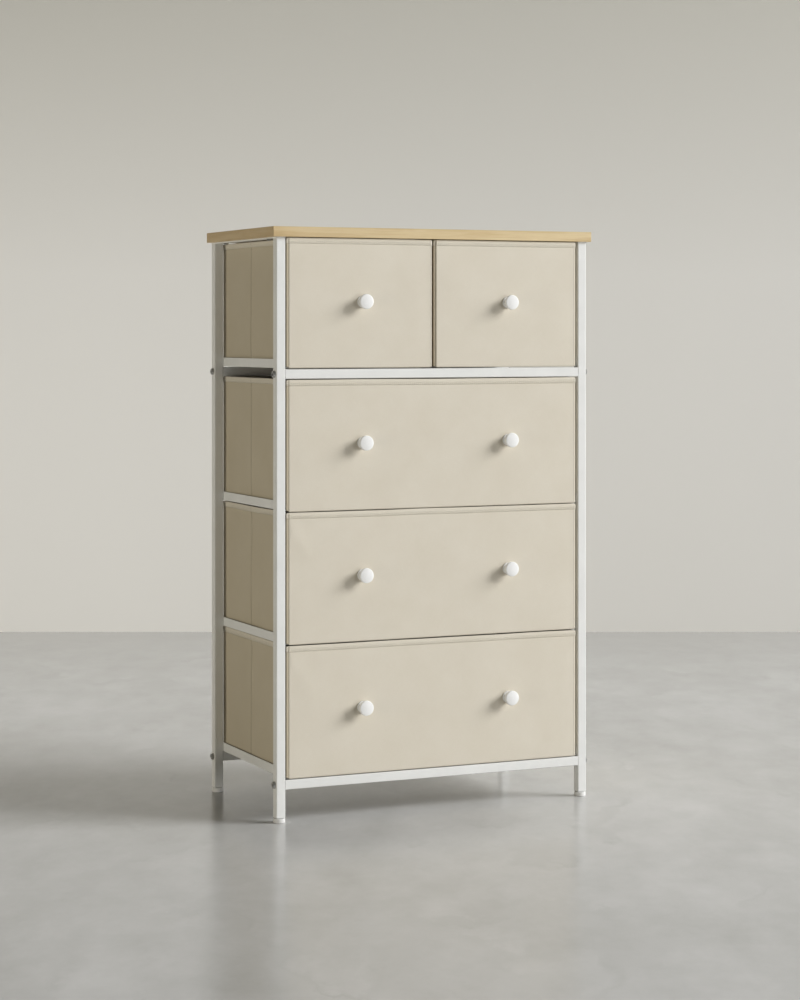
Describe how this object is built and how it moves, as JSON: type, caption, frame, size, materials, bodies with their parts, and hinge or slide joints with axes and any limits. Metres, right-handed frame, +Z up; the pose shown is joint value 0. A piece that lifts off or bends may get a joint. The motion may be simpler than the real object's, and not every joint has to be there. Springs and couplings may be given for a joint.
{
  "type": "fabric drawer dresser",
  "caption": "Upright fabric drawer dresser: white square-tube steel frame, wood-effect top board and fabric drawers with round knobs that slide out on steel runners.",
  "frame": {"origin": "on the floor, under the middle of the overall width and of the overall depth, which runs from the knobs' faces to the top board's back edge", "axes": "+X to the right seen from the front, -Y out of the drawers' fronts, +Z up"},
  "size_m": [0.556, 0.317, 0.92],
  "materials": {
    "frame_paint": "white powder coat, satin",
    "board": "pale wood-grain laminate, matt",
    "fasteners": "zinc-plated steel",
    "sockets": "moulded, matt",
    "feet": "moulded, matt white",
    "fabric": "pale beige non-woven fabric, matt",
    "stiffener": "plain fibreboard",
    "knobs": "moulded, gloss white"
  },
  "bodies": {
    "frame": {"top_board": "board", "post_front_left": "frame_paint", "post_front_right": "frame_paint", "post_back_left": "frame_paint", "post_back_right": "frame_paint", "front_middle_rail": "frame_paint", "front_bottom_rail": "frame_paint", "back_middle_rail": "frame_paint", "back_bottom_rail": "frame_paint", "side_top_bar_left": "frame_paint", "side_top_bar_right": "frame_paint", "runner_top_left": "frame_paint", "runner_top_right": "frame_paint", "runner_upper_left": "frame_paint", "runner_upper_right": "frame_paint", "runner_middle_left": "frame_paint", "runner_middle_right": "frame_paint", "runner_lower_left": "frame_paint", "runner_lower_right": "frame_paint", "centre_support": "frame_paint", "rail_end_nuts": "fasteners", "frame_bolts": "fasteners", "board_screws": "fasteners", "foot_sockets": "sockets"},
    "small_drawer_left": {"small_drawer_left_shell": "fabric", "small_drawer_left_front_board": "stiffener", "small_drawer_left_bottom_board": "stiffener", "small_drawer_left_knob": "knobs", "small_drawer_left_knob_screws": "fasteners"},
    "small_drawer_right": {"small_drawer_right_shell": "fabric", "small_drawer_right_front_board": "stiffener", "small_drawer_right_bottom_board": "stiffener", "small_drawer_right_knob": "knobs", "small_drawer_right_knob_screws": "fasteners"},
    "upper_drawer": {"upper_drawer_shell": "fabric", "upper_drawer_front_board": "stiffener", "upper_drawer_bottom_board": "stiffener", "upper_drawer_knob_left": "knobs", "upper_drawer_knob_right": "knobs", "upper_drawer_knob_screws": "fasteners"},
    "middle_drawer": {"middle_drawer_shell": "fabric", "middle_drawer_front_board": "stiffener", "middle_drawer_bottom_board": "stiffener", "middle_drawer_knob_left": "knobs", "middle_drawer_knob_right": "knobs", "middle_drawer_knob_screws": "fasteners"},
    "lower_drawer": {"lower_drawer_shell": "fabric", "lower_drawer_front_board": "stiffener", "lower_drawer_bottom_board": "stiffener", "lower_drawer_knob_left": "knobs", "lower_drawer_knob_right": "knobs", "lower_drawer_knob_screws": "fasteners"},
    "foot_front_left": {"foot_front_left": "feet"},
    "foot_front_right": {"foot_front_right": "feet"},
    "foot_back_left": {"foot_back_left": "feet"},
    "foot_back_right": {"foot_back_right": "feet"}
  },
  "joints": [
    {"name": "small_drawer_left_slide", "type": "slide", "parent": "frame", "child": "small_drawer_left", "axis": [0, -1, 0], "range_m": [0, 0.2]},
    {"name": "small_drawer_right_slide", "type": "slide", "parent": "frame", "child": "small_drawer_right", "axis": [0, -1, 0], "range_m": [0, 0.2]},
    {"name": "upper_drawer_slide", "type": "slide", "parent": "frame", "child": "upper_drawer", "axis": [0, -1, 0], "range_m": [0, 0.2]},
    {"name": "middle_drawer_slide", "type": "slide", "parent": "frame", "child": "middle_drawer", "axis": [0, -1, 0], "range_m": [0, 0.2]},
    {"name": "lower_drawer_slide", "type": "slide", "parent": "frame", "child": "lower_drawer", "axis": [0, -1, 0], "range_m": [0, 0.2]},
    {"name": "foot_front_left_turn", "type": "hinge", "parent": "frame", "child": "foot_front_left", "pos_m": [-0.2635, -0.131, 0.008], "axis": [0, 0, -1], "range_deg": [0, 1080]},
    {"name": "foot_front_right_turn", "type": "hinge", "parent": "frame", "child": "foot_front_right", "pos_m": [0.2635, -0.131, 0.008], "axis": [0, 0, -1], "range_deg": [0, 1080]},
    {"name": "foot_back_left_turn", "type": "hinge", "parent": "frame", "child": "foot_back_left", "pos_m": [-0.2635, 0.146, 0.008], "axis": [0, 0, -1], "range_deg": [0, 1080]},
    {"name": "foot_back_right_turn", "type": "hinge", "parent": "frame", "child": "foot_back_right", "pos_m": [0.2635, 0.146, 0.008], "axis": [0, 0, -1], "range_deg": [0, 1080]}
  ]
}
